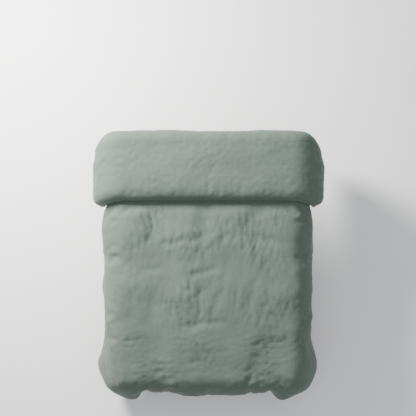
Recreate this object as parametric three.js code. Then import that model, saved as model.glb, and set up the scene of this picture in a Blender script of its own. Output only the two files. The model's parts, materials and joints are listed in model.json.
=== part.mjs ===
// A twin-size duvet in a linen cover, lying on a made bed with its head end turned back.
//
// Frame: millimetres, +Z up, +Y towards the head of the bed, +X across it. The origin is the
// centre of the flat underside that rests on the mattress. The bed itself isn't part of the
// object: the sides and the foot hang down round the place where the mattress goes.
//
// Every padded piece is a slab of the duvet. A point of a slab is given by u, its distance from
// the centre line across the duvet, w, its distance from the fold along the duvet, and t, its
// height above the underside. The functions main, turned and bend bend those three into place.
import * as THREE from "three";

// The bed that the duvet lies on.
const mattressWidth = 990;
const mattressEdgeRadius = 60;

// The duvet as it is cut, and what the filling takes up of its width and length.
const coverWidth = 1727;
const coverLength = 2184;
const takeUp = 0.965;
const loft = 60;

// How it lies: the flat stretch under the fold line, and the depth that is turned back.
const lyingLength = 1243;
const turnedLength = 312;
const sideFlare = 0.05;
const cornerBulge = 60;
const turnedHemDroop = 30;

// Cloth, seams and running gaps.
const cloth = 0.8;
const gap = 0.7;
const layerGap = 1.5;
const hemThickness = 2.6;
const hemRound = 70;
const fillSetback = 26;
const pocketSeam = 2;

// The stitched pockets of filling.
const columns = 6;
const rows = 6;
const leastPocket = 100; // a pocket that would be shorter than this beside the fold joins the next

// The button closure in the foot hem.
const placketDepth = 40;
const placketWidth = 840;
const bandThickness = 1.6;
const bandSpacing = 3;
const buttonCount = 5;
const buttonPitch = 190;
const buttonRadius = 7;
const buttonThickness = 2.6;
const buttonRim = 1.2;
const buttonStandOff = 2;
const shankRadius = 1.2;
const buttonholeWidth = 3.2;
const buttonholeLength = 16;

// The ribbons that tie the insert into the corners of the cover.
const tieWidth = 12;
const tieLength = 70;
const tieThickness = 1.6;
const tieSetback = 7;

// Facets: how finely the round stretches are divided.
const edgeFacets = 4;
const bendFacets = 6;
// How far from a hem the layers are divided, so that what lies inside it stays parallel to it.
const tieEdge = tieSetback + tieWidth;
const tieEnd = tieEdge + tieLength;
const hemStations = [0, tieSetback, tieEdge, fillSetback, hemRound, tieEnd];

// Sizes that follow from those.
const halfFlat = mattressWidth / 2 - mattressEdgeRadius;
const foldY = lyingLength / 2;
const halfWidth = (coverWidth * takeUp) / 2;
const mainRadius = mattressEdgeRadius + loft / 2;
const turnedRadius = mattressEdgeRadius + loft + layerGap + loft / 2;
const mainEdge = (mainRadius * Math.PI) / 2;
const turnedEdge = (turnedRadius * Math.PI) / 2;
const bendLength = (Math.PI * loft) / 2;
const mainLength = coverLength * takeUp - turnedLength - bendLength - placketDepth;
const turnedHang = halfWidth - halfFlat - turnedEdge;
const columnPitch = (2 * halfWidth) / columns;
const rowPitch = (coverLength * takeUp) / rows;
const interfaceHeight = loft + layerGap / 2;

const colours = {
  linen: { color: 0x8f9f92, roughness: 0.93 },
  reverse: { color: 0x8b9b8e, roughness: 0.93 },
  filling: { color: 0xf2efe8, roughness: 1 },
  band: { color: 0x87978a, roughness: 0.93 },
  button: { color: 0xd9d4c6, roughness: 0.45 },
  ribbon: { color: 0xe9e5da, roughness: 0.9 },
};
const materials = Object.fromEntries(
  Object.entries(colours).map(([name, look]) => [name, new THREE.MeshStandardMaterial(look)]),
);

const duvet = new THREE.Group();

function add(name, geometry, material) {
  const mesh = new THREE.Mesh(geometry, material);
  mesh.name = name;
  duvet.add(mesh);
  return mesh;
}

const clamp = (x, low, high) => Math.min(high, Math.max(low, x));
const smooth = (x) => x * x * (3 - 2 * x);

// Out and down over a mattress edge: s is the way along a layer of the given mean radius, and
// r the distance of the point from the centre of the edge's rounding.
function overEdge(s, meanRadius, r) {
  const round = (meanRadius * Math.PI) / 2;
  if (s >= round) {
    return { out: r, z: -mattressEdgeRadius - (s - round) };
  }
  const angle = s / meanRadius;
  return { out: r * Math.sin(angle), z: -mattressEdgeRadius + r * Math.cos(angle) };
}

// A point of the part that lies on the mattress and hangs over its sides and foot.
function main(u, w, t) {
  const a = Math.max(0, Math.abs(u) - halfFlat);
  const b = Math.max(0, w - lyingLength);
  const s = Math.hypot(a, b);
  const side = Math.sign(u);
  const lie = Math.min(w, lyingLength);
  if (s === 0) return new THREE.Vector3(u, foldY - w, t);
  const p = overEdge(s, mainRadius, mattressEdgeRadius + t);
  const hang = Math.max(0, s - mainEdge);
  const across = a / s;
  const along = b / s;
  const bulge = cornerBulge * (2 * across * along) ** 2 * smooth(clamp(hang / mainEdge, 0, 1));
  const out = p.out + sideFlare * hang * across * across + bulge;
  return new THREE.Vector3(
    side * (Math.min(Math.abs(u), halfFlat) + out * across),
    foldY - lie - out * along,
    p.z,
  );
}

// A point of the part that is turned back on top of it, t above the underside of that layer.
function turned(u, w, t) {
  const a = Math.max(0, Math.abs(u) - halfFlat);
  const side = Math.sign(u);
  const above = loft + layerGap + t;
  if (a === 0) return new THREE.Vector3(u, foldY - w, above);
  const p = overEdge(a, turnedRadius, mattressEdgeRadius + above);
  const hang = Math.max(0, a - turnedEdge);
  const droop = turnedHemDroop * smooth(clamp(a / turnedEdge, 0, 1)) * (w / turnedLength);
  return new THREE.Vector3(side * (halfFlat + p.out + sideFlare * hang), foldY - w - droop, p.z);
}

// A point of the bend between the two: p is the way across along the touching faces of the two
// layers, angle runs from -90 degrees under the bend to 90 on top, and r is from its axis.
const interfaceRadius = mattressEdgeRadius + interfaceHeight;
const interfaceEdge = (interfaceRadius * Math.PI) / 2;
function bend(p, angle, r) {
  const a = Math.max(0, Math.abs(p) - halfFlat);
  const side = Math.sign(p);
  const away = interfaceRadius + r * Math.sin(angle);
  const headwards = r * Math.cos(angle);
  if (a === 0) {
    return new THREE.Vector3(p, foldY + headwards, interfaceHeight + r * Math.sin(angle));
  }
  const q = overEdge(a, interfaceRadius, away);
  const hang = Math.max(0, a - interfaceEdge);
  return new THREE.Vector3(
    side * (halfFlat + q.out + sideFlare * hang),
    foldY + headwards,
    q.z,
  );
}

// A closed solid between two levels of a bent slab. The level functions give t at each u and w.
function slab(place, us, ws, low, high) {
  const points = [];
  const n = us.length;
  const m = ws.length;
  for (const level of [low, high]) {
    for (const w of ws) for (const u of us) points.push(place(u, w, level(u, w)));
  }
  const id = (layer, i, j) => layer * n * m + j * n + i;
  const faces = [];
  const quad = (a, b, c, d) => faces.push(a, b, c, a, c, d);
  for (let j = 0; j < m - 1; j++) {
    for (let i = 0; i < n - 1; i++) {
      quad(id(0, i, j), id(0, i, j + 1), id(0, i + 1, j + 1), id(0, i + 1, j));
      quad(id(1, i, j), id(1, i + 1, j), id(1, i + 1, j + 1), id(1, i, j + 1));
    }
  }
  for (let i = 0; i < n - 1; i++) {
    quad(id(0, i, 0), id(0, i + 1, 0), id(1, i + 1, 0), id(1, i, 0));
    quad(id(0, i, m - 1), id(1, i, m - 1), id(1, i + 1, m - 1), id(0, i + 1, m - 1));
  }
  for (let j = 0; j < m - 1; j++) {
    quad(id(0, 0, j), id(1, 0, j), id(1, 0, j + 1), id(0, 0, j + 1));
    quad(id(0, n - 1, j), id(0, n - 1, j + 1), id(1, n - 1, j + 1), id(1, n - 1, j));
  }
  return closed(points, faces);
}

// The geometry of a closed surface, with its faces turned to point out.
function closed(points, faces) {
  let volume = 0;
  for (let k = 0; k < faces.length; k += 3) {
    const [a, b, c] = [0, 1, 2].map((i) => points[faces[k + i]]);
    volume += a.dot(b.clone().cross(c));
  }
  if (volume < 0) faces.reverse();
  const geometry = new THREE.BufferGeometry();
  geometry.setFromPoints(points);
  geometry.setIndex(faces);
  geometry.computeVertexNormals();
  return geometry;
}

// Where slabs are divided: the ends of the range, and the stations that lie inside it.
const between = (from, to, stations) => [
  from,
  ...stations.filter((x) => x > from + pocketSeam && x < to - pocketSeam),
  to,
];
const ladder = (from, to, count) =>
  Array.from({ length: count + 1 }, (_, i) => from + ((to - from) * i) / count);
const mirrored = (stations) => [...stations].reverse().map((x) => -x).concat(stations);
const inOrder = (stations) => [...stations].sort((a, b) => a - b);
const hemLadder = (hem) => hemStations.map((distance) => hem - distance);

// Every layer is divided at the same angles round the mattress edge, so that they stay parallel.
const pocketAngle = (2 * columnPitch - halfFlat) / mainEdge;
const roundStations = (edge) =>
  inOrder([...ladder(0, 1, edgeFacets), pocketAngle]).map((share) => halfFlat + share * edge);
const stationsAcross = (edge) => {
  const middleOfHang = (halfFlat + edge + halfWidth - tieEnd) / 2;
  const hanging = [middleOfHang, ...hemLadder(halfWidth)];
  return mirrored(inOrder([columnPitch, ...roundStations(edge), ...hanging]));
};
const mainAcross = stationsAcross(mainEdge);
const turnedAcross = stationsAcross(turnedEdge);
const pocketRows = Array.from(
  { length: rows - 1 },
  (_, i) => rowPitch * (i + 1) - turnedLength - bendLength,
).filter((w) => w > leastPocket);
const mainAlong = inOrder([
  ...pocketRows,
  ...ladder(lyingLength, lyingLength + mainEdge, edgeFacets),
  (lyingLength + mainEdge + mainLength - tieEnd) / 2,
  ...hemLadder(mainLength),
]);
const turnedAlong = inOrder(hemLadder(turnedLength));

// The duvet's thickness, which closes in a round edge at each hem.
const rounding = (fromHem) => Math.sqrt(1 - (1 - clamp(fromHem / hemRound, 0, 1)) ** 2);
const thickness = (length) => (u, w) =>
  hemThickness + (loft - hemThickness) * rounding(halfWidth - Math.abs(u)) * rounding(length - w);
const levels = (length) => {
  const thick = thickness(length);
  const under = (u, w) => (loft - thick(u, w)) / 2;
  const over = (u, w) => (loft + thick(u, w)) / 2;
  return {
    under,
    underIn: (u, w) => under(u, w) + cloth,
    fillLow: (u, w) => under(u, w) + cloth + gap,
    fillHigh: (u, w) => over(u, w) - cloth - gap,
    overIn: (u, w) => over(u, w) - cloth,
    over,
  };
};
const mainLevels = levels(mainLength);
const turnedLevels = levels(turnedLength);

// The two panels of the cover where they lie on and hang over the mattress.
function coverPanels() {
  const us = between(-halfWidth, halfWidth, mainAcross);
  const ws = between(gap, mainLength, mainAlong);
  add("cover_top_panel", slab(main, us, ws, mainLevels.overIn, mainLevels.over), materials.linen);
  add("cover_back_panel", slab(main, us, ws, mainLevels.under, mainLevels.underIn), materials.reverse);
}

// One pocket of filling in each column of each row that lies on the mattress or hangs from it.
const columnNames = ["left_3", "left_2", "left_1", "right_1", "right_2", "right_3"];
function pocketSpan(i, limit) {
  const from = -halfWidth + i * columnPitch;
  return [
    Math.max(from + pocketSeam / 2, -limit),
    Math.min(from + columnPitch - pocketSeam / 2, limit),
  ];
}
function mainPockets() {
  const lines = [0, ...pocketRows, mainLength];
  for (let row = 0; row < lines.length - 1; row++) {
    const to = Math.min(lines[row + 1] - pocketSeam / 2, mainLength - fillSetback);
    const ws = between(lines[row] + pocketSeam / 2, to, mainAlong);
    columnNames.forEach((column, i) => {
      const us = between(...pocketSpan(i, halfWidth - fillSetback), mainAcross);
      const name = `filling_row_${row + 2}_${column}`;
      add(name, slab(main, us, ws, mainLevels.fillLow, mainLevels.fillHigh), materials.filling);
    });
  }
}

// The turned-back flap: a flat centre, and on each side a shoulder and a hanging side.
function turnedPanels() {
  const ws = between(gap, turnedLength, turnedAlong);
  const stretches = [
    ["turned", -halfFlat + gap / 2, halfFlat - gap / 2],
    ["turned_left", -halfWidth, -halfFlat - gap / 2],
    ["turned_right", halfFlat + gap / 2, halfWidth],
  ];
  for (const [name, from, to] of stretches) {
    const us = between(from, to, turnedAcross);
    const { under, underIn, overIn, over } = turnedLevels;
    add(`${name}_top_panel`, slab(turned, us, ws, under, underIn), materials.linen);
    add(`${name}_back_panel`, slab(turned, us, ws, overIn, over), materials.reverse);
  }
}

function turnedPockets() {
  const ws = between(gap, turnedLength - fillSetback, turnedAlong);
  const sideStart = halfFlat + turnedEdge;
  const spans = [
    ["3", sideStart + gap / 2, halfWidth - fillSetback],
    ["shoulder", halfFlat + gap / 2, sideStart - gap / 2],
    ["2", columnPitch + pocketSeam / 2, halfFlat - gap / 2],
    ["1", pocketSeam / 2, columnPitch - pocketSeam / 2],
  ];
  for (const [name, from, to] of spans) {
    for (const side of ["left", "right"]) {
      const range = side === "left" ? [-to, -from] : [from, to];
      const us = between(...range, turnedAcross);
      const geometry = slab(turned, us, ws, turnedLevels.fillLow, turnedLevels.fillHigh);
      add(`turned_filling_${side}_${name}`, geometry, materials.filling);
    }
  }
}

// The bend at the head: a half-round roll of filling inside one strip of the back panel.
function headBend() {
  const reach = halfFlat + interfaceEdge + turnedHang - fillSetback;
  const across = mirrored([...roundStations(interfaceEdge), reach]);
  const angles = ladder(-Math.PI / 2, Math.PI / 2, bendFacets);
  const radius = loft + layerGap / 2;
  const core = () => gap;
  const fill = () => radius - cloth - gap;
  const skinIn = () => radius - cloth;
  const skinOut = () => radius;
  add("bend_filling", slab(bend, across, angles, core, fill), materials.filling);
  add("bend_back_panel", slab(bend, across, angles, skinIn, skinOut), materials.reverse);
}

// The closure: two hem bands below the foot hem, the inner one with a row of buttonholes, and
// buttons on thread shanks that stand on the outer band and pass through them.
const buttonPlaces = Array.from(
  { length: buttonCount },
  (_, i) => (i - (buttonCount - 1) / 2) * buttonPitch,
);
const bandTop = -mattressEdgeRadius - (mainLength - lyingLength - mainEdge) - gap;
const bandMiddle = bandTop - placketDepth / 2;
const hemY = -foldY - mattressEdgeRadius - loft / 2;
const outerBandFace = hemY - bandSpacing / 2;
const innerBandFace = hemY + bandSpacing / 2;

function placketBand(withHoles) {
  const shape = new THREE.Shape();
  const [halfBand, halfDepth] = [placketWidth / 2, placketDepth / 2];
  shape.moveTo(-halfBand, -halfDepth);
  shape.lineTo(halfBand, -halfDepth);
  shape.lineTo(halfBand, halfDepth);
  shape.lineTo(-halfBand, halfDepth);
  shape.closePath();
  const end = buttonholeWidth / 2;
  const straight = buttonholeLength / 2 - end;
  for (const x of withHoles ? buttonPlaces : []) {
    const hole = new THREE.Path();
    hole.absarc(x, straight, end, 0, Math.PI, false);
    hole.absarc(x, -straight, end, Math.PI, 2 * Math.PI, false);
    hole.closePath();
    shape.holes.push(hole);
  }
  const geometry = new THREE.ExtrudeGeometry(shape, {
    depth: bandThickness,
    bevelEnabled: false,
    curveSegments: 5,
  });
  return geometry.rotateX(Math.PI / 2);
}

function closure() {
  const outer = add("placket_outer_band", placketBand(false), materials.band);
  outer.position.set(0, outerBandFace, bandMiddle);
  const inner = add("placket_buttonhole_band", placketBand(true), materials.band);
  inner.position.set(0, innerBandFace + bandThickness, bandMiddle);
}

// A button and its shank as one turned profile along +Y, from the shank's end on the outer band.
function button() {
  const base = bandSpacing + bandThickness + buttonStandOff;
  const dish = buttonThickness * 0.3;
  const profile = [
    [0, gap],
    [shankRadius, gap],
    [shankRadius, base],
    [buttonRadius - buttonRim, base],
    [buttonRadius, base + buttonRim / 2],
    [buttonRadius, base + buttonThickness - buttonRim / 2],
    [buttonRadius - buttonRim / 2, base + buttonThickness],
    [buttonRadius - 2 * buttonRim, base + buttonThickness - dish],
    [0, base + buttonThickness - dish],
  ].map(([r, y]) => new THREE.Vector2(r, y));
  return new THREE.LatheGeometry(profile, 20);
}

function buttons() {
  buttonPlaces.forEach((x, i) => {
    const mesh = add(`button_${i + 1}`, button(), materials.button);
    mesh.position.set(x, outerBandFace, bandMiddle);
  });
}

// The four ribbons, each beside a side seam near a corner, inside the lower panel there.
function cornerTies() {
  const ends = [
    ["foot", main, mainLength, mainLevels, mainAlong],
    ["head", turned, turnedLength, turnedLevels, turnedAlong],
  ];
  for (const [end, place, hem, { underIn }, along] of ends) {
    const low = (u, w) => underIn(u, w) + gap;
    const high = (u, w) => low(u, w) + tieThickness;
    const ws = between(hem - tieEnd, hem - tieEdge, along);
    for (const side of ["left", "right"]) {
      const us = [halfWidth - tieEdge, halfWidth - tieSetback];
      if (side === "left") us.reverse().forEach((u, i) => (us[i] = -u));
      add(`corner_tie_${end}_${side}`, slab(place, us, ws, low, high), materials.ribbon);
    }
  }
}

coverPanels();
mainPockets();
turnedPanels();
turnedPockets();
headBend();
closure();
buttons();
cornerTies();

export default duvet;
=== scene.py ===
"""A twin duvet in a linen cover, lying on a bed with its head end turned back."""
import json
import math

import bmesh
import bpy
import numpy as np
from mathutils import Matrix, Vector


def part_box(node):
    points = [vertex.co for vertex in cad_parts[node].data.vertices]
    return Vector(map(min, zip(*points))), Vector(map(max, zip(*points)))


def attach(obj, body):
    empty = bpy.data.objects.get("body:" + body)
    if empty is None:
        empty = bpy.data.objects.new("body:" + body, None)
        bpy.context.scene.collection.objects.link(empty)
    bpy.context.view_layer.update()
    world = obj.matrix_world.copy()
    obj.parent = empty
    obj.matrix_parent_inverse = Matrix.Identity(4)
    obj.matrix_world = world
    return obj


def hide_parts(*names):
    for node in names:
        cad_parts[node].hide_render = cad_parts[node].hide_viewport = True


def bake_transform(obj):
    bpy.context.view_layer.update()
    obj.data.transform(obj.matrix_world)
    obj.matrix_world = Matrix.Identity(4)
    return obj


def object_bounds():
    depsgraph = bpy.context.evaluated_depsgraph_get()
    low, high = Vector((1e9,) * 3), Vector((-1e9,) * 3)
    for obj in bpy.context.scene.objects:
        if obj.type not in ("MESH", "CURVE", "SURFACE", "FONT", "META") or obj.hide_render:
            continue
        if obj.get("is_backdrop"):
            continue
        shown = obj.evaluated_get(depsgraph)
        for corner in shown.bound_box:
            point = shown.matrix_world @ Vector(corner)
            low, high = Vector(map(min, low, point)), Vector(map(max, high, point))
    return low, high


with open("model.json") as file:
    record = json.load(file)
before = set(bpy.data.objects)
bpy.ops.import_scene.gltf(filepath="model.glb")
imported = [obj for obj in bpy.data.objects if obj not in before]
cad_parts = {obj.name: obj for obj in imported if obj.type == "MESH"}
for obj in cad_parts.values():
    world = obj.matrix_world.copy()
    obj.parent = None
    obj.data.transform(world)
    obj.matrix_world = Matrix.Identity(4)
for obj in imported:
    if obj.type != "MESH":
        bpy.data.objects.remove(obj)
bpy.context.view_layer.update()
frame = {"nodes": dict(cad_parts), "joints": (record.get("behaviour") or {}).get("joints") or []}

JOINTS = {joint["name"]: joint for joint in frame["joints"]}
NODES = sorted(frame["nodes"])

# ---------------------------------------------------------------- sizes, in metres

# From the frame: the axis of the fold at the head, the axes that the turned-back sides hang from,
# the mattress's flat top and the radius of its edge, and how far out the button bands reach.
_, FOLD_Y, SPLIT = JOINTS["turn_back_fold"]["pos_m"]
SIDE_AXIS = JOINTS["turned_right_lay"]["pos_m"][0]
HALF_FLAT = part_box("turned_top_panel")[1][0]
EDGE_RADIUS = SIDE_AXIS - HALF_FLAT - SPLIT
BAND_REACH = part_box("placket_outer_band")[1][0] - 0.005

# The cloth. A place in it is u across from the middle, and w or v down from the fold.
LOFT = 0.060
LAYER_GAP = 0.0015  # between the lying part and the turned-back part
LYING = 2 * FOLD_Y  # the flat stretch, from the fold to where the foot rounds over
HALF_WIDTH = 0.8333  # from the middle to a side hem
LENGTH = 1.6613  # from the fold to the foot hem
FLAP = 0.312  # from the fold to the turned-back hem
FLARE = 0.05  # how far the hanging sides stand out, as a share of how far they hang
FLAP_DROOP = 0.034  # how far the turned-back sides swing towards the foot
BEND_LENGTH = math.pi * SPLIT

# The insert's stitched pockets: their width and length, and the first seam past the fold.
COLUMN = 2 * HALF_WIDTH / 6
ROW = 0.3513
FIRST_ROW = 0.2964

# Over the mattress's edge: each layer's mean radius, and the cloth that its quarter turn takes.
MAIN_RADIUS = EDGE_RADIUS + LOFT / 2
SPLIT_RADIUS = EDGE_RADIUS + SPLIT
FLAP_RADIUS = EDGE_RADIUS + LOFT + LAYER_GAP + LOFT / 2
MAIN_EDGE = MAIN_RADIUS * math.pi / 2
SPLIT_EDGE = SPLIT_RADIUS * math.pi / 2
FLAP_EDGE = FLAP_RADIUS * math.pi / 2

# Hems and sides.
HEM_ROUND = 0.070  # how far in from a hem the padding is full
HEM_LIFT = 0.014  # how far the turned-back hem rides up
PLAIN_HEM = 0.035  # the wrinkles fade out this close to a hem
SEAM_LINE = 0.011  # how far in from a hem the sewn line runs
SIDE_PUFF = 0.009  # how much fuller the hanging sides are

# How far the fold at the head stands back: over the sides, on the flat, and where it starts.
DRAW_BACK = 0.060
LEAST_DRAW_BACK = 0.002
CORNER_START = 0.055

# The grids: spacing, rows in each part of the bend and of its closed ends, and tolerances.
STEP = 0.0095
END_ROWS = 8
ROLL_ROWS = 20
CAP_ROWS = 4
SEAM_GAP = 0.0005
MERGE = 0.00002

# The cloth simulation, and for each panel its slack and the most that it may move.
SETTLE_FRAMES = 16
PRESSURE = 2.0
LYING_SLACK, LYING_MOST = 0.050, 0.012
TURNED_SLACK, TURNED_MOST = 0.014, 0.005

LINEN_COLOUR = (0.094, 0.127, 0.103)


# ---------------------------------------------------------------- small tools


def smooth(x):
    """0 below 0, 1 above 1, and an even slope between."""
    x = np.clip(x, 0, 1)
    return x * x * (3 - 2 * x)


def mix(a, b, share):
    return a + (b - a) * share


def stations(start, end, step=STEP):
    """Evenly spaced places from start to end, about a step apart."""
    return np.linspace(start, end, int(round(abs(end - start) / step)) + 1)


class Noise:
    """Smooth seeded noise over a plane, from about -1 to 1."""

    SIZE = 256

    def __init__(self, seed):
        angle = np.random.default_rng(seed).uniform(0, 2 * math.pi, (self.SIZE, self.SIZE))
        self.slope = np.stack([np.cos(angle), np.sin(angle)], -1)

    def __call__(self, x, y):
        cell_x, cell_y = np.floor(x).astype(int), np.floor(y).astype(int)
        fx, fy = x - cell_x, y - cell_y
        total = 0
        for dx in (0, 1):
            for dy in (0, 1):
                slope = self.slope[(cell_x + dx) % self.SIZE, (cell_y + dy) % self.SIZE]
                value = slope[..., 0] * (fx - dx) + slope[..., 1] * (fy - dy)
                total = total + value * self.fade(1 - abs(fx - dx)) * self.fade(1 - abs(fy - dy))
        return total * 1.5

    @staticmethod
    def fade(x):
        return x * x * x * (x * (6 * x - 15) + 10)


def grid_normals(grid):
    """Unit normals of a grid of points, upwards where its rows run down and its columns right."""
    along = np.gradient(grid, axis=0)
    across = np.gradient(grid, axis=1)
    normal = np.cross(along, across)
    return normal / np.maximum(np.linalg.norm(normal, axis=-1, keepdims=True), 1e-12)


# ---------------------------------------------------------------- the form of the duvet

# The outline of a hanging foot corner seen from above, at five places down the cloth: the way
# down from the flat top, then points from the side round to the foot, as (x, y) from the corner
# of the flat top. The cloth left over at the corner stands out in one fold towards the foot.
CORNER_SIDE = 0.30
CORNER_FOOT = 0.32
CORNER_LEVELS = [
    (0.000, [(0, 0.30), (0, 0.15), (0, 0.04), (0, 0), (-0.02, 0), (-0.05, 0), (-0.08, 0),
             (-0.12, 0), (-0.20, 0), (-0.32, 0)]),
    (0.070, [(0.085, 0.30), (0.086, 0.15), (0.083, 0.03), (0.060, -0.058), (0.015, -0.085),
             (-0.015, -0.083), (-0.032, -0.072), (-0.058, -0.088), (-0.180, -0.085), (-0.32, -0.085)]),
    (0.141, [(0.120, 0.30), (0.126, 0.15), (0.136, 0.02), (0.112, -0.084), (0.056, -0.128),
             (-0.022, -0.150), (-0.086, -0.102), (-0.130, -0.124), (-0.210, -0.122), (-0.32, -0.120)]),
    (0.260, [(0.126, 0.30), (0.138, 0.15), (0.168, 0.01), (0.130, -0.108), (0.056, -0.152),
             (-0.032, -0.178), (-0.092, -0.094), (-0.142, -0.126), (-0.230, -0.124), (-0.32, -0.120)]),
    (0.450, [(0.134, 0.30), (0.148, 0.15), (0.186, 0.00), (0.146, -0.120), (0.062, -0.166),
             (-0.026, -0.190), (-0.098, -0.080), (-0.146, -0.118), (-0.240, -0.118), (-0.32, -0.120)]),
]


def corner_table(depths, shares):
    """The corner's outline at each depth, at even shares of its length, as a grid of points."""
    rows = []
    for _, points in CORNER_LEVELS:
        points = np.array(points, float)
        ends = np.vstack([2 * points[0] - points[1], points, 2 * points[-1] - points[-2]])
        t = np.linspace(0, 1, 30, endpoint=False)[:, None]
        curve = []
        for a, b, c, d in zip(ends, ends[1:], ends[2:], ends[3:]):
            curve.append(0.5 * (2 * b + (c - a) * t + (2 * a - 5 * b + 4 * c - d) * t**2
                                + (3 * b - a - 3 * c + d) * t**3))
        curve = np.vstack([*curve, points[-1:]])
        way = np.concatenate([[0], np.cumsum(np.linalg.norm(np.diff(curve, axis=0), axis=1))])
        rows.append([np.interp(shares, way / way[-1], curve[:, k]) for k in (0, 1)])
    rows = np.array(rows)
    known = [level for level, _ in CORNER_LEVELS]
    table = np.empty((len(depths), len(shares), 2))
    for k in (0, 1):
        for j in range(len(shares)):
            table[:, j, k] = np.interp(depths, known, rows[:, k, j])
    for _ in range(40):
        table[1:-1] = (table[:-2] + 2 * table[1:-1] + table[2:]) / 4
    return table


CORNER_DEPTHS = np.linspace(0, 0.62, 125)
CORNER_SHARES = np.linspace(0, 1, 241)
CORNER = corner_table(CORNER_DEPTHS, CORNER_SHARES)


def over_edge(s, mean_radius, radius):
    """(out, z) at the way s along a layer that goes over the mattress's rounded edge."""
    length = mean_radius * math.pi / 2
    angle = np.minimum(s, length) / mean_radius
    out = radius * np.sin(angle)
    z = -EDGE_RADIUS + radius * np.cos(angle) - np.maximum(0, s - length)
    return out, z


def hem_rounding(distance):
    return np.sqrt(1 - (1 - np.clip(distance / HEM_ROUND, 0, 1)) ** 2)


def draw_back(u):
    """How far the fold at the head stands back where the duvet goes over the bed's sides."""
    share = smooth((abs(u) - HALF_FLAT - CORNER_START) / SPLIT_EDGE)
    return LEAST_DRAW_BACK + (DRAW_BACK - LEAST_DRAW_BACK) * share


def lying(u, w, level, lift=0.0):
    """The part that lies on the bed: level 0 is its underside and 1 its upper side."""
    a = np.maximum(0, abs(u) - HALF_FLAT)
    b = np.maximum(0, w - LYING)
    s = np.hypot(a, b)
    across = a / np.maximum(s, 1e-9)
    along = b / np.maximum(s, 1e-9)
    thick = LOFT * hem_rounding(HALF_WIDTH - abs(u)) * hem_rounding(LENGTH - w)
    out, z = over_edge(s, MAIN_RADIUS, EDGE_RADIUS + LOFT / 2 + (level - 0.5) * thick + lift)
    out = out + FLARE * np.maximum(0, s - MAIN_EDGE) * across * across
    x = np.minimum(abs(u), HALF_FLAT) + out * across
    back = draw_back(u) * (1 - smooth(w / FLAP))
    y = FOLD_Y - np.minimum(w, LYING) - back - out * along
    full, _ = over_edge(s, MAIN_RADIUS, EDGE_RADIUS + LOFT)
    ear_x, ear_y = ear(u, w, s, full, across, along)
    to_hem = np.minimum(HALF_WIDTH - abs(u), LENGTH - w)
    share = mix(smooth(1 - to_hem / (2 * HEM_ROUND)), 1, level)
    # Along the button bands the foot hem keeps its plain outline.
    at_bands = smooth((w - LENGTH + 0.13) / 0.11) * (1 - smooth((abs(u) - BAND_REACH) / 0.03))
    share = share * (1 - at_bands)
    return np.stack([np.sign(u) * (x + ear_x * share), y + ear_y * share, z], -1)


def ear(u, w, s, out, across, along):
    """What the fold at a foot corner adds to the plain rounded corner, seen from above."""
    side = np.clip(w - LYING, -CORNER_SIDE, 0)
    foot = np.clip(HALF_FLAT - abs(u), 0, CORNER_FOOT)
    angle = np.arctan2(along, np.maximum(across, 1e-9))
    turn = np.where(w < LYING, 0, np.where(abs(u) < HALF_FLAT, s * math.pi / 2, s * angle))
    way = CORNER_SIDE + side + turn + foot
    share = way / (CORNER_SIDE + s * math.pi / 2 + CORNER_FOOT)
    row = np.clip(s / CORNER_DEPTHS[-1], 0, 1) * (len(CORNER_DEPTHS) - 1.001)
    column = np.clip(share, 0, 1) * (len(CORNER_SHARES) - 1.001)
    i, j = row.astype(int), column.astype(int)
    fi, fj = (row - i)[..., None], (column - j)[..., None]
    near = mix(CORNER[i, j], CORNER[i, j + 1], fj)
    far = mix(CORNER[i + 1, j], CORNER[i + 1, j + 1], fj)
    point = mix(near, far, fi)
    plain_x = np.minimum(abs(u), HALF_FLAT) - HALF_FLAT + out * across
    plain_y = np.maximum(LYING - w, 0) - out * along
    inside = (w > LYING - CORNER_SIDE) & (abs(u) > HALF_FLAT - CORNER_FOOT) & (s > 0)
    edge = smooth((way / 0.12)) * smooth((CORNER_SIDE + s * math.pi / 2 + CORNER_FOOT - way) / 0.12)
    share = np.where(inside, edge, 0)
    return (point[..., 0] - plain_x) * share, (point[..., 1] - plain_y) * share


def turned(u, w, level, lift=0.0):
    """The part that is turned back: level 0 is the side that lies on the duvet and 1 the upper."""
    a = np.maximum(0, abs(u) - HALF_FLAT)
    side, end = hem_rounding(HALF_WIDTH - abs(u)), hem_rounding(FLAP - w)
    thick = LOFT * side * end
    height = LOFT + LAYER_GAP + LOFT * (1 - side) / 2 + HEM_LIFT * (1 - end) + lift
    height = height + level * (thick - HEM_LIFT * end * (1 - end) * side)
    out, z = over_edge(a, FLAP_RADIUS, EDGE_RADIUS + height)
    out = out + FLARE * np.maximum(0, a - FLAP_EDGE)
    x = np.sign(u) * (np.minimum(abs(u), HALF_FLAT) + out)
    droop = FLAP_DROOP * smooth(a / FLAP_EDGE) * w / FLAP
    y = FOLD_Y - w - droop - draw_back(u) * (1 - w / FLAP)
    return np.stack([x, y, z], -1)


def roll(u, angle, lift=0.0):
    """The bend at the head, from -90 degrees on the underside to 90 on the turned-back side."""
    a = np.maximum(0, abs(u) - HALF_FLAT)
    share = (1 + np.sin(angle)) / 2
    round_main, round_flap = np.minimum(a / MAIN_EDGE, 1), np.minimum(a / FLAP_EDGE, 1)
    hang = mix(np.maximum(0, a - MAIN_EDGE), np.maximum(0, a - FLAP_EDGE), share)
    turn = mix(round_main, round_flap, share) * math.pi / 2
    size = LOFT / 2 * (1 + hem_rounding(HALF_WIDTH - abs(u))) + SPLIT - LOFT + lift
    radius = SPLIT_RADIUS + size * np.sin(angle)
    out = radius * np.sin(turn) + FLARE * hang
    x = np.sign(u) * (np.minimum(abs(u), HALF_FLAT) + out)
    y = FOLD_Y - draw_back(u) + size * np.cos(angle)
    z = -EDGE_RADIUS + radius * np.cos(turn) - hang
    return np.stack([x, y, z], -1)


# ---------------------------------------------------------------- wrinkles

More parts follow.
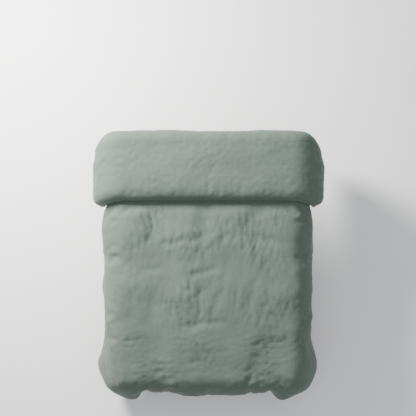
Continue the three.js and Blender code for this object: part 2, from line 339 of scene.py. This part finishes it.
# Creases that lie on the upper side: from (u, w) to (u, w), how wide, and how deep. All of them
# are then widened and made shallower by the same share.
CREASE_WIDER = 1.4
CREASE_SHALLOWER = 0.60
CREASES = [
    (-0.290, 0.32, -0.300, 0.53, 0.034, 0.012),
    (-0.300, 0.45, -0.275, 0.50, 0.014, 0.004),
    (-0.030, 0.32, -0.020, 0.50, 0.032, 0.010),
    (-0.037, 0.52, -0.016, 0.64, 0.012, 0.005),
    (0.262, 0.31, 0.268, 0.40, 0.032, 0.010),
    (-0.235, 0.540, -0.016, 0.512, 0.015, 0.007),
    (0.245, 0.512, 0.420, 0.537, 0.016, 0.006),
    (0.252, 0.515, 0.262, 0.640, 0.013, 0.005),
    (0.030, 0.56, 0.090, 0.50, 0.018, 0.005),
    (-0.345, 0.680, -0.245, 0.676, 0.013, 0.005),
    (-0.095, 0.710, 0.040, 0.672, 0.014, 0.007),
    (-0.133, 0.980, 0.074, 0.957, 0.012, 0.006),
    (-0.040, 0.787, -0.064, 0.970, 0.020, 0.006),
    (-0.300, 0.787, -0.300, 0.950, 0.022, 0.007),
    (-0.350, 0.790, -0.345, 0.870, 0.012, 0.004),
    (0.250, 0.734, 0.220, 0.867, 0.016, 0.006),
    (0.106, 0.640, 0.074, 0.840, 0.016, 0.004),
    (0.060, 0.800, 0.020, 0.930, 0.014, 0.005),
]

coarse, middle, fine, drift = (Noise(seed) for seed in (11, 23, 37, 51))


def crease_depth(u, w):
    """How deep the listed creases are at each place."""
    wander = 0.009 * middle(u * 17 + 5, w * 17) + 0.004 * fine(u * 45, w * 45)
    depth = 0
    for u0, w0, u1, w1, width, deep in CREASES:
        du, dw = u1 - u0, w1 - w0
        length = math.hypot(du, dw)
        along = ((u - u0) * du + (w - w0) * dw) / length**2
        aside = ((u - u0) * dw - (w - w0) * du) / length + wander
        ends = smooth((along + 0.25) / 0.4) * smooth((1.25 - along) / 0.4)
        width = CREASE_WIDER * width
        groove = np.exp(-((aside / width) ** 2)) - 0.35 * np.exp(-(((abs(aside) / width) - 1.8) ** 2))
        depth = depth + CREASE_SHALLOWER * deep * groove * ends
    return depth


def pocket_crown(u, w):
    """How far each stitched pocket of filling stands up, from 0 on its seams to 1."""
    wave_u = np.sin(math.pi * (u + 0.016 * coarse(u * 4, w * 4)) / COLUMN) ** 2
    wave_w = np.sin(math.pi * (w - FIRST_ROW + 0.020 * coarse(u * 4 + 9, w * 4)) / ROW) ** 2
    return (0.2 + 0.8 * wave_u) * (0.3 + 0.7 * wave_w)


def drag_lines(u, w):
    """Fine slack in the linen: down the bed on the upper part, across it towards the foot."""
    lengthwise = ridge(fine, u * 34 + 1.2 * drift(u * 5, w * 5), w * 7)
    crosswise = ridge(fine, u * 6 + 40, w * 38 + 1.4 * drift(u * 6, w * 6 + 7))
    skewed = ridge(middle, (u - 0.6 * w) * 22 + 13, (w + 0.6 * u) * 9)
    to_foot = smooth((w - 0.93) / 0.14)
    on_top = 1 - smooth((abs(u) - 0.40) / 0.12)
    patch = smooth(0.5 + 1.1 * coarse(u * 5 + 3, w * 5 + 8))
    threads = 0.0046 * mix(lengthwise, crosswise, to_foot) * mix(0.30, 1, patch * on_top)
    return threads + 0.0034 * skewed * patch


def ridge(noise, x, y):
    """Noise with narrow creases between rounded swells, from about -0.6 to 0.6."""
    return 0.55 - 1.9 * np.exp(-abs(noise(x, y)) * 5) * 0.62


def lying_height(u, w):
    """How far the upper side of the lying part stands out from its plain form."""
    puff = 0.009 * (pocket_crown(u, w) - 0.5)
    swell = 0.007 * coarse(u * 3.1, w * 3.1 + 20) + 0.006 * middle(u * 7 + 4, w * 7)
    to_side = smooth((abs(u) - HALF_FLAT - 0.03) / 0.16)
    to_foot = smooth((w - LYING - 0.03) / 0.16)
    hanging = to_side * middle(w * 8 + 3, abs(u) * 2 + np.sign(u)) + to_foot * middle(u * 8 + 6, w * 2)
    return puff + swell + 0.007 * hanging - crease_depth(u, w) + drag_lines(u, w)


def skin_height(u, v):
    """How far the cover's back panel, which faces up on the turned-back part, stands out."""
    swell = 0.007 * coarse(u * 3.4 + 30, v * 4.2) + 0.003 * middle(u * 8, v * 9 + 31)
    skewed = ridge(fine, (u + 0.45 * v) * 11 + 60, (v - 0.25 * u) * 40)
    patch = smooth(0.45 + 1.2 * coarse(u * 4 + 50, v * 6))
    return swell + 0.0034 * skewed * mix(0.3, 1, patch) + 0.0016 * ridge(middle, u * 30, v * 30 + 9)


def hem_wave(u, w):
    """The slight waves of the lying part's hems, which both panels share."""
    side = np.exp(-(((HALF_WIDTH - abs(u)) / 0.10) ** 2))
    end = np.exp(-(((LENGTH - w) / 0.10) ** 2))
    return 0.007 * (side * coarse(w * 9 + 70, np.sign(u) * 3 + 0.5) + end * coarse(u * 8 + 3, 0.5))


def turned_hem_wave(u, v):
    """How far the turned-back part's hems lift off what they lie on."""
    side = np.exp(-(((HALF_WIDTH - abs(u)) / 0.08) ** 2))
    end = np.exp(-(((FLAP - v) / 0.05) ** 2))
    lift = 0.006 * side * coarse(v * 13 + 90, np.sign(u) * 3 + 0.5) + 0.006 * end * coarse(u * 9 + 33, 0.5)
    return np.maximum(lift, 0)


def puckers(u, v, hem):
    """Short gathers that run in from the sewn hems."""
    to_side, to_end = HALF_WIDTH - abs(u), hem - v
    side = np.exp(-to_side / 0.035) * coarse(v * 30 + 17, np.sign(u) * 9 + to_side * 4)
    end = np.exp(-to_end / 0.035) * coarse(u * 30 + 77, to_end * 4)
    corners = smooth((abs(u) - 0.42) / 0.25)
    return mix(0.0012, 0.0050, corners) * (side + end)


# ---------------------------------------------------------------- cloth simulation


def settle(points, held, slack):
    """Lets a panel of cloth with a little slack billow and buckle between the places where it is
    held, and returns how far it moved out from where it lay."""
    rows, columns, _ = points.shape
    mesh = bpy.data.meshes.new("settling")
    index = np.arange(rows * columns).reshape(rows, columns)
    quads = np.stack([index[:-1, :-1], index[1:, :-1], index[1:, 1:], index[:-1, 1:]], -1)
    mesh.from_pydata(points.reshape(-1, 3).tolist(), [], quads.reshape(-1, 4).tolist())
    panel = bpy.data.objects.new("settling", mesh)
    bpy.context.scene.collection.objects.link(panel)
    group = panel.vertex_groups.new(name="held")
    for place, weight in enumerate(np.clip(held, 0, 1).reshape(-1)):
        group.add([place], float(weight), "REPLACE")
    modifier = panel.modifiers.new("Cloth", "CLOTH")
    cloth = modifier.settings
    cloth.quality = 5
    cloth.mass = 0.25
    cloth.tension_stiffness = 12
    cloth.compression_stiffness = 12
    cloth.shear_stiffness = 4
    cloth.bending_stiffness = 0.25
    cloth.tension_damping = 4
    cloth.bending_damping = 0.6
    cloth.air_damping = 2
    cloth.vertex_group_mass = "held"
    cloth.pin_stiffness = 0.6
    cloth.use_pressure = True
    cloth.uniform_pressure_force = PRESSURE
    cloth.shrink_min = -slack
    cloth.effector_weights.gravity = 0
    modifier.point_cache.frame_start = 1
    modifier.point_cache.frame_end = SETTLE_FRAMES
    scene = bpy.context.scene
    for step in range(1, SETTLE_FRAMES + 1):
        scene.frame_set(step)
    result = panel.evaluated_get(bpy.context.evaluated_depsgraph_get()).to_mesh()
    moved = np.empty(rows * columns * 3)
    result.vertices.foreach_get("co", moved)
    scene.frame_set(1)
    bpy.data.objects.remove(panel)
    bpy.data.meshes.remove(mesh)
    return ((moved.reshape(rows, columns, 3) - points) * grid_normals(points)).sum(-1)


def spread(values, rows, columns):
    """A grid of values resampled smoothly to another number of rows and columns."""
    for axis, count in ((0, rows), (1, columns)):
        values = np.moveaxis(values, axis, 0)
        place = np.linspace(0, len(values) - 1, count)
        i = np.clip(place.astype(int), 0, len(values) - 2)
        t = (place - i)[:, None]
        before, after = np.maximum(i - 1, 0), np.minimum(i + 2, len(values) - 1)
        a, b, c, d = values[before], values[i], values[i + 1], values[after]
        values = 0.5 * (2 * b + (c - a) * t + (2 * a - 5 * b + 4 * c - d) * t**2
                        + (3 * b - a - 3 * c + d) * t**3)
        values = np.moveaxis(values, 0, axis)
    return values


# ---------------------------------------------------------------- panels, as grids of points


def with_fine_ends(places, start):
    """The stations with a few more close to the hems, where the form turns fast."""
    more = [places[-1] - distance for distance in (0.0012, 0.0040)]
    if start:
        more += [places[0] + distance for distance in (0.0012, 0.0040)]
    return np.sort(np.concatenate([places, more]))


US = with_fine_ends(stations(-HALF_WIDTH, HALF_WIDTH), True)
MIDDLE = int(np.argmin(abs(US)))
US[MIDDLE] = 0
WS = with_fine_ends(stations(0, LENGTH), False)
FS = with_fine_ends(stations(0, FLAP), False)

U, W = np.meshgrid(US, WS)
FLAP_U, FLAP_V = np.meshgrid(US, FS)
COARSE = 2 * STEP


def hem_distance(u, w, hem):
    return np.minimum(HALF_WIDTH - abs(u), hem - w)


def settled(form, length, slack, most, corner_held):
    """How far a simulated panel moves out from its plain form, on an even coarse grid. Where the
    foot corners are held, so is what lies under the turned-back part."""
    us, ws = stations(-HALF_WIDTH, HALF_WIDTH, COARSE), stations(0, length, COARSE)
    u, w = np.meshgrid(us, ws)
    seams_u = 1 - smooth(abs(((u / COLUMN + 0.5) % 1) - 0.5) * COLUMN / 0.020)
    seams_w = 1 - smooth(abs((((w - FIRST_ROW) / ROW + 0.5) % 1) - 0.5) * ROW / 0.020)
    hems = 1 - smooth(hem_distance(u, w, length) / 0.05)
    held = np.maximum(np.maximum(0.5 * seams_u * seams_w, 0.10), hems)
    held = np.maximum(held, 1 - smooth(w / 0.04))
    free_share = 1
    if corner_held:
        turned_part = 1 - smooth((w - FLAP + 0.02) / 0.06)
        on_corner = smooth((w - LYING + 0.34) / 0.34) * smooth((abs(u) - HALF_FLAT + 0.34) / 0.34)
        held = np.maximum(held, np.maximum(turned_part, on_corner))
        free_share = 1 - on_corner
    moved = settle(form(u, w, 1), held, slack) * free_share
    return most * np.tanh(moved / most), us, ws


def resampled(values, us, ws, u, w):
    """The values of an even grid at any places, with smooth curves between its points."""
    dense = spread(values, 4 * len(ws) - 3, 4 * len(us) - 3)
    i = (w - ws[0]) / (ws[-1] - ws[0]) * (dense.shape[0] - 1.001)
    j = (u - us[0]) / (us[-1] - us[0]) * (dense.shape[1] - 1.001)
    a, b = np.clip(i, 0, None).astype(int), np.clip(j, 0, None).astype(int)
    fa, fb = np.clip(i, 0, None) - a, np.clip(j, 0, None) - b
    near = mix(dense[a, b], dense[a, b + 1], fb)
    return mix(near, mix(dense[a + 1, b], dense[a + 1, b + 1], fb), fa)


def fold_angle(u):
    """Where round the bend the lying part ends. The turned-back part begins as far past level."""
    size = LOFT / 2 * (1 + hem_rounding(HALF_WIDTH - abs(u))) + SPLIT - LOFT
    return np.arccos(np.clip((draw_back(u) - SEAM_GAP) / size, 0, 1))


lying_settled = settled(lying, LENGTH, LYING_SLACK, LYING_MOST, True)
lying_move = resampled(*lying_settled, U, W)
turned_settled = settled(turned, FLAP, TURNED_SLACK, TURNED_MOST, False)
turned_move = resampled(*turned_settled, FLAP_U, FLAP_V)

# The lying part's upper side. Under the turned-back part it is pressed flat.
covered = FLAP + FLAP_DROOP * smooth((abs(U) - HALF_FLAT) / FLAP_EDGE)
free = smooth((W - covered - 0.002) / 0.070)
at_hem = smooth(hem_distance(U, W, LENGTH) / PLAIN_HEM)
wave = hem_wave(U, W) * free
height = (lying_height(U, W) + lying_move + puckers(U, W, LENGTH)) * free * at_hem
off_corner = 1 - smooth((W - LYING + CORNER_SIDE) / (CORNER_SIDE / 2))
height = height + SIDE_PUFF * smooth((abs(U) - HALF_FLAT) / MAIN_EDGE) * free * at_hem * off_corner
height = height - 0.004 * np.exp(-((W / 0.05) ** 2))
lying_top = lying(U, W, 1, wave)
lying_top = lying_top + grid_normals(lying_top) * height[..., None]
lying_under = lying(U, W, 0, wave)

# The bend at the head, in three runs: the turned-back part's, the free one, and the lying part's.
fold = fold_angle(US)
run = np.linspace(0, 1, END_ROWS + 1)[1:, None]
upper_angles = mix(math.pi / 2, fold, run)
roll_angles = mix(fold, -fold, np.linspace(0, 1, ROLL_ROWS + 1)[1:, None])
lower_angles = mix(-fold, -math.pi / 2, run)
angles = np.vstack([upper_angles, roll_angles, lower_angles])
bend_u = np.broadcast_to(US, angles.shape)
bend_v = (angles - math.pi / 2) * SPLIT

flap_wave = turned_hem_wave(FLAP_U, FLAP_V)
flap_top = turned(FLAP_U, FLAP_V, 1, flap_wave)
flap_under = turned(FLAP_U, FLAP_V, 0, flap_wave)
skin_plain = np.vstack([flap_top[::-1], roll(bend_u, angles)])
skin_u = np.vstack([FLAP_U, bend_u])
skin_v = np.vstack([FLAP_V[::-1], bend_v])
skin_angle = np.vstack([np.full(FLAP_U.shape, math.pi / 2), angles])
over_shoulder = smooth((abs(skin_u) - HALF_FLAT) / 0.06)
bend_share = 1 - over_shoulder * smooth((math.pi / 2 - skin_angle) / 0.5)
bend_share = bend_share * smooth((skin_angle + math.pi / 2) / 0.8)
bend_share = bend_share * smooth(hem_distance(skin_u, skin_v, FLAP) / PLAIN_HEM)
turned_move = turned_move * smooth(FLAP_V / 0.10) * smooth((FLAP - FLAP_V) / 0.13)
skin_move = np.vstack([turned_move[::-1], np.zeros(bend_u.shape)])
side_puff = SIDE_PUFF * smooth((abs(skin_u) - HALF_FLAT) / FLAP_EDGE) * smooth(skin_v / 0.10)
height = skin_height(skin_u, skin_v) + skin_move + puckers(skin_u, skin_v, FLAP) + side_puff
height = height * bend_share
skin = skin_plain - grid_normals(skin_plain) * height[..., None]

first, second = len(FS) + END_ROWS, len(FS) + END_ROWS + ROLL_ROWS
flap_skin = skin[:first]
roll_skin = skin[first - 1:second]
lying_skin = skin[second - 1:]


def end_point(away):
    """Where a part's end meets the plane between the two parts, a little way off it."""
    x, y, z = np.moveaxis(roll(US, np.zeros_like(US), 0), -1, 0)
    return np.stack([x, np.minimum(y, FOLD_Y - SEAM_GAP), z + away], -1)


def closed_end(outer, inner_start, away):
    """The rows that close a part at the fold: its outer face on to the end plane, and its inner
    face from its last row to there. Where the hem is they run together."""
    end = end_point(away)
    steps = np.linspace(0, 1, CAP_ROWS + 1)[1:, None, None]
    outer = np.concatenate([outer, mix(outer[-1], end, steps)])
    steps = np.linspace(0, 1, len(outer) + 1)[1:, None, None]
    straight = mix(inner_start, end, steps)
    together = (1 - hem_rounding(HALF_WIDTH - abs(US)))[None, :, None]
    return outer, mix(straight, outer, together)


main_outer, main_inner = closed_end(lying_skin[-2::-1], lying_top[0], -SEAM_GAP)
flap_outer, flap_inner = closed_end(flap_skin[len(FS):], flap_under[0], SEAM_GAP)


# ---------------------------------------------------------------- pieces


class Shell:
    """A closed piece made of grids of points that meet at their edges."""

    def __init__(self):
        self.points, self.faces, self.cloth, self.shown = [], [], [], []

    def add(self, grid, u, v, to_hem, shown_rows):
        """Adds a grid of points with its places in the cloth, of which the first rows show."""
        rows, columns, _ = grid.shape
        start = len(self.points)
        index = start + np.arange(rows * columns).reshape(rows, columns)
        quads = np.stack([index[:-1, :-1], index[:-1, 1:], index[1:, 1:], index[1:, :-1]], -1)
        self.points += grid.reshape(-1, 3).tolist()
        self.faces += quads.reshape(-1, 4).tolist()
        u, v, to_hem = np.broadcast_arrays(u, v, to_hem)
        self.cloth += np.stack([u, v, to_hem], -1).reshape(-1, 3).tolist()
        shown = np.zeros((rows - 1, columns - 1), bool)
        shown[:shown_rows] = True
        self.shown += shown.reshape(-1).tolist()
        return index

    def close(self, one, other):
        """Faces between two rows of points that stand apart."""
        for a, b, c, d in zip(one[:-1], one[1:], other[1:], other[:-1]):
            self.faces.append([int(a), int(b), int(c), int(d)])
            self.shown.append(False)

    def piece(self, name, material):
        work = bmesh.new()
        cloth = work.verts.layers.float_vector.new("cloth")
        shown = work.faces.layers.int.new("shown")
        vertices = []
        for point, place in zip(self.points, self.cloth):
            vertex = work.verts.new(point)
            vertex[cloth] = place
            vertices.append(vertex)
        for corners, seen in zip(self.faces, self.shown):
            face = work.faces.new([vertices[corner] for corner in corners])
            face[shown] = int(seen)
            face.smooth = True
        bmesh.ops.remove_doubles(work, verts=work.verts, dist=MERGE)
        bmesh.ops.dissolve_degenerate(work, edges=work.edges, dist=MERGE / 10)
        bmesh.ops.recalc_face_normals(work, faces=work.faces)
        mesh = bpy.data.meshes.new(name)
        work.to_mesh(mesh)
        work.free()
        mesh.materials.append(material)
        made = bpy.data.objects.new(name, mesh)
        bpy.context.scene.collection.objects.link(made)
        return made


def shade_together(pieces):
    """Shades the cover as one surface where it runs on from one piece to the next."""
    keys, pushes, seen = [], [], []
    for piece in pieces:
        mesh = piece.data
        count = len(mesh.vertices)
        points = np.empty(count * 3)
        mesh.vertices.foreach_get("co", points)
        loops = np.empty(len(mesh.loops), int)
        mesh.loops.foreach_get("vertex_index", loops)
        normals, areas = np.empty(len(mesh.polygons) * 3), np.empty(len(mesh.polygons))
        mesh.polygons.foreach_get("normal", normals)
        mesh.polygons.foreach_get("area", areas)
        shown, size = np.empty(len(areas), int), np.empty(len(areas), int)
        mesh.attributes["shown"].data.foreach_get("value", shown)
        mesh.polygons.foreach_get("loop_total", size)
        push = normals.reshape(-1, 3) * (areas * shown)[:, None]
        keys.append(np.round(points.reshape(-1, 3)[loops] / MERGE).astype(np.int64))
        pushes.append(np.repeat(push, size, axis=0))
        seen.append(np.repeat(shown, size))
    _, place = np.unique(np.vstack(keys), axis=0, return_inverse=True)
    place = place.reshape(-1)
    total = np.zeros((place.max() + 1, 3))
    np.add.at(total, place, np.vstack(pushes))
    total /= np.maximum(np.linalg.norm(total, axis=1, keepdims=True), 1e-12)
    result = total[place] * np.concatenate(seen)[:, None]
    start = 0
    for piece in pieces:
        count = len(piece.data.loops)
        piece.data.normals_split_custom_set(result[start:start + count].tolist())
        start += count


# ---------------------------------------------------------------- materials


class Nodes:
    """A material's node tree, built a node at a time."""

    def __init__(self, name):
        self.material = bpy.data.materials.new(name)
        self.material.use_nodes = True
        self.tree = self.material.node_tree
        self.shader = self.tree.nodes["Principled BSDF"]

    def new(self, kind, **settings):
        node = self.tree.nodes.new(kind)
        for key, value in settings.items():
            setattr(node, key, value)
        return node

    def link(self, source, target):
        self.tree.links.new(source, target)

    def stretched(self, vector, x, y, z, shift=0.0):
        """A place in the cloth, scaled by x, y and z, so that noise there runs along its threads."""
        mapping = self.new("ShaderNodeMapping")
        mapping.inputs["Scale"].default_value = (x, y, z)
        mapping.inputs["Location"].default_value = (shift, shift, 0)
        self.link(vector, mapping.inputs["Vector"])
        return mapping.outputs["Vector"]

    def noise(self, vector, detail=2.0, roughness=0.5):
        node = self.new("ShaderNodeTexNoise", noise_dimensions="3D")
        node.inputs["Scale"].default_value = 1.0
        node.inputs["Detail"].default_value = detail
        node.inputs["Roughness"].default_value = roughness
        self.link(vector, node.inputs["Vector"])
        return node.outputs["Fac"]

    def math(self, operation, a, b=None, c=None):
        node = self.new("ShaderNodeMath", operation=operation)
        for socket, value in zip(node.inputs, (a, b, c)):
            if value is None:
                continue
            if isinstance(value, (int, float)):
                socket.default_value = value
            else:
                self.link(value, socket)
        return node.outputs["Value"]

    def ramp(self, factor, *stops):
        node = self.new("ShaderNodeValToRGB")
        while len(node.color_ramp.elements) < len(stops):
            node.color_ramp.elements.new(0.5)
        for element, (place, colour) in zip(node.color_ramp.elements, stops):
            element.position = place
            element.color = (*colour, 1)
        self.link(factor, node.inputs["Fac"])
        return node.outputs["Color"]

    def bump(self, height, strength, distance, under=None):
        node = self.new("ShaderNodeBump")
        node.inputs["Strength"].default_value = strength
        node.inputs["Distance"].default_value = distance
        self.link(height, node.inputs["Height"])
        if under is not None:
            self.link(under, node.inputs["Normal"])
        return node.outputs["Normal"]


def linen(name, colour, on_cover=True):
    """Washed linen: slubbed threads both ways, slightly uneven dye, and a sewn line by the hems, darkened
    with painted shade as if it lay in a groove.
    """
    nodes = Nodes(name)
    if on_cover:
        cloth = nodes.new("ShaderNodeAttribute", attribute_name="cloth")
        place = cloth.outputs["Vector"]
    else:
        place = nodes.new("ShaderNodeTexCoord").outputs["Object"]
    along = nodes.noise(nodes.stretched(place, 420, 26, 30), 3.0, 0.55)
    across = nodes.noise(nodes.stretched(place, 26, 420, 30, 9.0), 3.0, 0.55)
    thread_a = nodes.noise(nodes.stretched(place, 1500, 120, 100), 1.0)
    thread_b = nodes.noise(nodes.stretched(place, 120, 1500, 100, 4.0), 1.0)
    washed = nodes.noise(nodes.stretched(place, 7, 7, 7), 5.0, 0.6)
    slub = nodes.math("ADD", along, across)
    tone = nodes.math("MULTIPLY_ADD", slub, 0.36, nodes.math("MULTIPLY", washed, 0.28))
    threads = nodes.math("MULTIPLY_ADD", nodes.math("ADD", thread_a, thread_b), 0.11, tone)
    dark = tuple(0.80 * part for part in colour)
    light = tuple(1.17 * part for part in colour)
    shade = nodes.ramp(threads, (0.44, dark), (0.61, colour), (0.78, light))
    # Painted shade: along the sewn line by the hems the colour is darkened, standing in for the shade in
    # its groove.
    if on_cover:
        split = nodes.new("ShaderNodeSeparateXYZ")
        nodes.link(place, split.inputs["Vector"])
        off_seam = nodes.math("ABSOLUTE", nodes.math("SUBTRACT", split.outputs["Z"], SEAM_LINE))
        seam = nodes.new("ShaderNodeMapRange", interpolation_type="SMOOTHSTEP")
        nodes.link(off_seam, seam.inputs["Value"])
        seam.inputs["From Min"].default_value = 0.0
        seam.inputs["From Max"].default_value = 0.0030
        seam.inputs["To Min"].default_value = 0.86
        seam.inputs["To Max"].default_value = 1.0
        painted_seam_shade = nodes.new("ShaderNodeMix", data_type="RGBA", blend_type="MULTIPLY")
        painted_seam_shade.inputs["Factor"].default_value = 1.0
        nodes.link(shade, painted_seam_shade.inputs["A"])
        nodes.link(seam.outputs["Result"], painted_seam_shade.inputs["B"])
        shade = painted_seam_shade.outputs["Result"]
    nodes.link(shade, nodes.shader.inputs["Base Color"])
    rough = nodes.math("MULTIPLY_ADD", slub, 0.10, 0.78)
    nodes.link(rough, nodes.shader.inputs["Roughness"])
    weave = nodes.math("ADD", thread_a, thread_b)
    normal = nodes.bump(weave, 0.35, 0.0006)
    normal = nodes.bump(slub, 0.30, 0.0010, normal)
    if on_cover:
        normal = nodes.bump(seam.outputs["Result"], 0.4, 0.0012, normal)
    nodes.link(normal, nodes.shader.inputs["Normal"])
    nodes.shader.inputs["Specular IOR Level"].default_value = 0.25
    nodes.shader.inputs["Sheen Weight"].default_value = 0.12
    nodes.shader.inputs["Sheen Roughness"].default_value = 0.5
    return nodes.material


def shell_button(name):
    """Pale turned shell: cloudy streaks under a soft gloss."""
    nodes = Nodes(name)
    place = nodes.new("ShaderNodeTexCoord").outputs["Object"]
    cloudy = nodes.noise(nodes.stretched(place, 90, 240, 90), 4.0, 0.6)
    shade = nodes.ramp(cloudy, (0.30, (0.42, 0.38, 0.31)), (0.55, (0.60, 0.56, 0.48)),
                       (0.75, (0.72, 0.69, 0.62)))
    nodes.link(shade, nodes.shader.inputs["Base Color"])
    nodes.link(nodes.math("MULTIPLY_ADD", cloudy, 0.25, 0.22), nodes.shader.inputs["Roughness"])
    nodes.link(nodes.bump(cloudy, 0.15, 0.0003), nodes.shader.inputs["Normal"])
    nodes.shader.inputs["Coat Weight"].default_value = 0.15
    return nodes.material


def ribbon(name, colour):
    """Woven cotton tape: fine ribs and a soft dull face."""
    nodes = Nodes(name)
    place = nodes.new("ShaderNodeTexCoord").outputs["Object"]
    ribs = nodes.noise(nodes.stretched(place, 900, 900, 120), 2.0)
    worn = nodes.noise(nodes.stretched(place, 60, 60, 60), 3.0)
    dark = tuple(0.82 * part for part in colour)
    shade = nodes.ramp(nodes.math("MULTIPLY_ADD", ribs, 0.6, nodes.math("MULTIPLY", worn, 0.4)),
                       (0.35, dark), (0.65, colour))
    nodes.link(shade, nodes.shader.inputs["Base Color"])
    nodes.shader.inputs["Roughness"].default_value = 0.85
    nodes.link(nodes.bump(ribs, 0.4, 0.0004), nodes.shader.inputs["Normal"])
    return nodes.material


LINEN = linen("linen", LINEN_COLOUR)
BAND_LINEN = linen("band linen", LINEN_COLOUR, on_cover=False)
BUTTON = shell_button("shell button")
RIBBON = ribbon("tie ribbon", tuple(0.92 * part for part in LINEN_COLOUR))


# ---------------------------------------------------------------- the pieces of the cover

TO_SIDE = HALF_WIDTH - abs(US)
TO_HEM = hem_distance(U, W, LENGTH)[::-1]
FLAP_TO_HEM = hem_distance(FLAP_U, FLAP_V, FLAP)[::-1]
END_COUNT = END_ROWS + CAP_ROWS
at_side = np.tile(TO_SIDE, (END_COUNT, 1))
no_length = np.zeros((END_COUNT, len(US)))
cap_v = np.tile((-fold - math.pi / 2) * SPLIT, (CAP_ROWS, 1))
lower_v = np.vstack([bend_v[::-1][1:END_ROWS + 1], cap_v])
upper_v = np.vstack([bend_v[:END_ROWS], np.tile((fold - math.pi / 2) * SPLIT, (CAP_ROWS, 1))])

main = Shell()
under_v = np.vstack([-BEND_LENGTH - W[::-1], lower_v])
main.add(np.concatenate([lying_under[::-1], main_outer]), US, under_v,
         np.vstack([TO_HEM, at_side]), len(WS) + END_ROWS - 1)
main.add(np.concatenate([lying_top[::-1], main_inner]), US, np.vstack([W[::-1], no_length]),
         np.vstack([TO_HEM, at_side]), len(WS) - 1)
main_cover = main.piece("main_cover", LINEN)
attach(main_cover, "duvet")
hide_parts("cover_top_panel", "cover_back_panel",
            *[node for node in NODES if node.startswith("filling_row_")])

flap_upper = np.concatenate([flap_skin[:len(FS)], flap_outer])
flap_lower = np.concatenate([flap_under[::-1], flap_inner])
upper_v = np.vstack([FLAP_V[::-1], upper_v])
lower_flap_v = np.vstack([2 * FLAP - FLAP_V[::-1], 2 * FLAP + no_length])
flap_to_hem = np.vstack([FLAP_TO_HEM, at_side])
halves = []
for side, columns in (("left", slice(0, MIDDLE + 1)), ("right", slice(MIDDLE, None))):
    half = Shell()
    upper = half.add(flap_upper[:, columns], US[columns], upper_v[:, columns],
                     flap_to_hem[:, columns], first - 1)
    lower = half.add(flap_lower[:, columns], US[columns], lower_flap_v[:, columns],
                     flap_to_hem[:, columns], len(FS) - 1)
    inner_column = -1 if side == "left" else 0
    half.close(upper[:, inner_column], lower[:, inner_column])
    piece = half.piece("turned_back_" + side, LINEN)
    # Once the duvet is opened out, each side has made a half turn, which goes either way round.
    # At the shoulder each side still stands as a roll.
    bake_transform(piece)
    panel = "turned_top_panel" if side == "left" else "turned_back_panel"
    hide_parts(panel, *[node for node in NODES if node.startswith(f"turned_{side}_")],
                *[node for node in NODES if node.startswith(f"turned_filling_{side}_")])
    halves.append(piece)

bent = np.flatnonzero(fold > 1e-6)
columns = slice(bent[0] - 1, bent[-1] + 2)
head = Shell()
roll_v = bend_v[END_ROWS - 1:END_ROWS + ROLL_ROWS][:, columns]
head.add(roll_skin[:, columns], US[columns], roll_v, TO_SIDE[columns], ROLL_ROWS)
share = np.linspace(0, 1, ROLL_ROWS + 1)[:, None, None]
head.add(mix(roll_skin[0, columns], roll_skin[-1, columns], share), US[columns], roll_v,
         TO_SIDE[columns], 0)
head_bend = head.piece("head_bend", LINEN)
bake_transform(head_bend)
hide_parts("bend_filling", "bend_back_panel")

COVER = [main_cover, *halves, head_bend]
shade_together(COVER)


# ---------------------------------------------------------------- the CAD pieces that stay

for node in NODES:
    material = None
    if node.startswith("placket_"):
        material = BAND_LINEN
    elif node.startswith("button_"):
        material = BUTTON
    elif node.startswith("corner_tie_"):
        material = RIBBON
    if material is not None:
        mesh = frame["nodes"][node].data
        mesh.materials.clear()
        mesh.materials.append(material)


# ---------------------------------------------------------------- floor, light and camera

CAMERA_Y = 0.27
CAMERA_HEIGHT = 4.5
LENS = 72.35
FLOOR_GAP = 0.004


def floor(height):
    material = Nodes("pale floor")
    place = material.new("ShaderNodeTexCoord").outputs["Object"]
    cloudy = material.noise(material.stretched(place, 1.5, 1.5, 1.5), 3.0)
    material.link(material.ramp(cloudy, (0.3, (0.93, 0.925, 0.915)), (0.7, (0.96, 0.955, 0.945))),
                  material.shader.inputs["Base Color"])
    material.shader.inputs["Roughness"].default_value = 0.8
    mesh = bpy.data.meshes.new("floor")
    reach = 12
    mesh.from_pydata([(-reach, -reach, height), (reach, -reach, height), (reach, reach, height),
                      (-reach, reach, height)], [], [(0, 1, 2, 3)])
    mesh.materials.append(material.material)
    made = bpy.data.objects.new("floor", mesh)
    bpy.context.scene.collection.objects.link(made)
    made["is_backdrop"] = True


def soft_light(name, place, aim, size, power, colour):
    data = bpy.data.lights.new(name, "AREA")
    data.shape = "DISK"
    data.size = size
    data.energy = power
    data.color = colour
    light = bpy.data.objects.new(name, data)
    light.location = place
    light.rotation_euler = (Vector(aim) - Vector(place)).to_track_quat("-Z", "Y").to_euler()
    bpy.context.scene.collection.objects.link(light)


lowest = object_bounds()[0][2]
floor(lowest - FLOOR_GAP)
soft_light("key", (-1.7, 1.85, 1.30), (-0.1, 0.1, 0.0), 1.0, 285, (1.0, 0.99, 0.97))
soft_light("fill", (0.5, 0.2, 4.2), (0, 0, 0), 3.0, 40, (0.96, 0.98, 1.0))
world = bpy.data.worlds.new("studio")
world.use_nodes = True
world.node_tree.nodes["Background"].inputs["Color"].default_value = (0.93, 0.96, 1.0, 1)
world.node_tree.nodes["Background"].inputs["Strength"].default_value = 0.62
bpy.context.scene.world = world

camera_data = bpy.data.cameras.new("camera")
camera_data.lens = LENS
camera_data.sensor_width = 36
camera = bpy.data.objects.new("camera", camera_data)
camera.location = (0, CAMERA_Y, CAMERA_HEIGHT)
bpy.context.scene.collection.objects.link(camera)
bpy.context.scene.camera = camera
